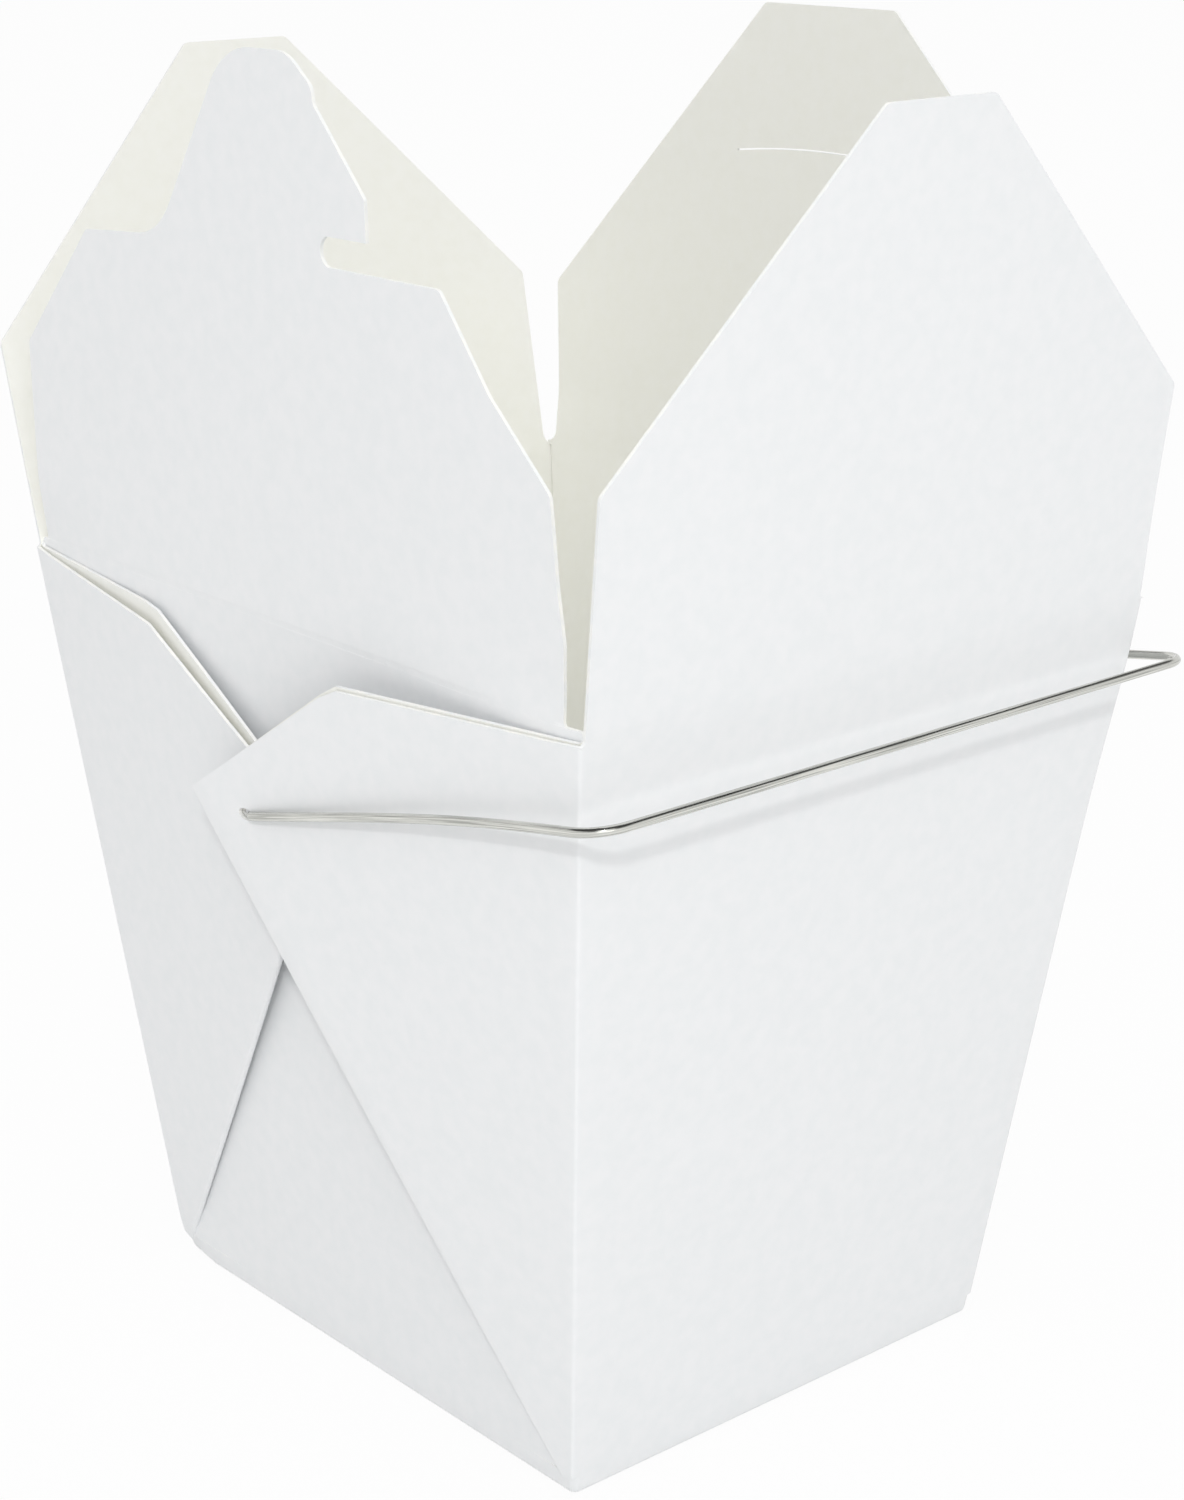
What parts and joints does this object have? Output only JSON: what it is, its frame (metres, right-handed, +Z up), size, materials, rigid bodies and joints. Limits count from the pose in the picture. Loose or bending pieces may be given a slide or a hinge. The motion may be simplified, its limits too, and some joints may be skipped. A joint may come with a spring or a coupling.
{
  "type": "takeout food box",
  "caption": "Folded white paperboard takeout box with flared walls, corner webs, open locking top flaps and a steel wire bail handle.",
  "frame": {"origin": "middle of the base, on the surface that the box stands on", "axes": "+Z up; -Y faces the plain wall with the front flap, where the bail hangs; the tongue flap is at -X and the slot flap at +X"},
  "size_m": [0.1066, 0.1436, 0.1801],
  "materials": {
    "paperboard": "satin",
    "steel_wire": "satin"
  },
  "bodies": {
    "carton": {"carton": "paperboard"},
    "front_flap": {"front_flap": "paperboard"},
    "back_flap": {"back_flap": "paperboard"},
    "tongue_flap": {"tongue_flap": "paperboard"},
    "slot_flap": {"slot_flap": "paperboard"},
    "wire_handle": {"wire_handle": "steel_wire"}
  },
  "joints": [
    {"name": "front_flap_fold", "type": "hinge", "parent": "carton", "child": "front_flap", "pos_m": [0, -0.06001, 0.1073], "axis": [-1, 0, 0], "range_deg": [-23.9, 97.1]},
    {"name": "back_flap_fold", "type": "hinge", "parent": "carton", "child": "back_flap", "pos_m": [0, 0.06001, 0.1073], "axis": [1, 0, 0], "range_deg": [-16.3, 103.7]},
    {"name": "tongue_flap_fold", "type": "hinge", "parent": "carton", "child": "tongue_flap", "pos_m": [-0.04688, 0, 0.1085], "axis": [0, 1, 0], "range_deg": [-29, 88.5]},
    {"name": "slot_flap_fold", "type": "hinge", "parent": "carton", "child": "slot_flap", "pos_m": [0.04688, 0, 0.1085], "axis": [0, -1, 0], "range_deg": [-29, 91]},
    {"name": "bail_swing", "type": "hinge", "parent": "carton", "child": "wire_handle", "pos_m": [0, 0, 0.084], "axis": [-1, 0, 0], "range_deg": [-52, 10.4]}
  ]
}
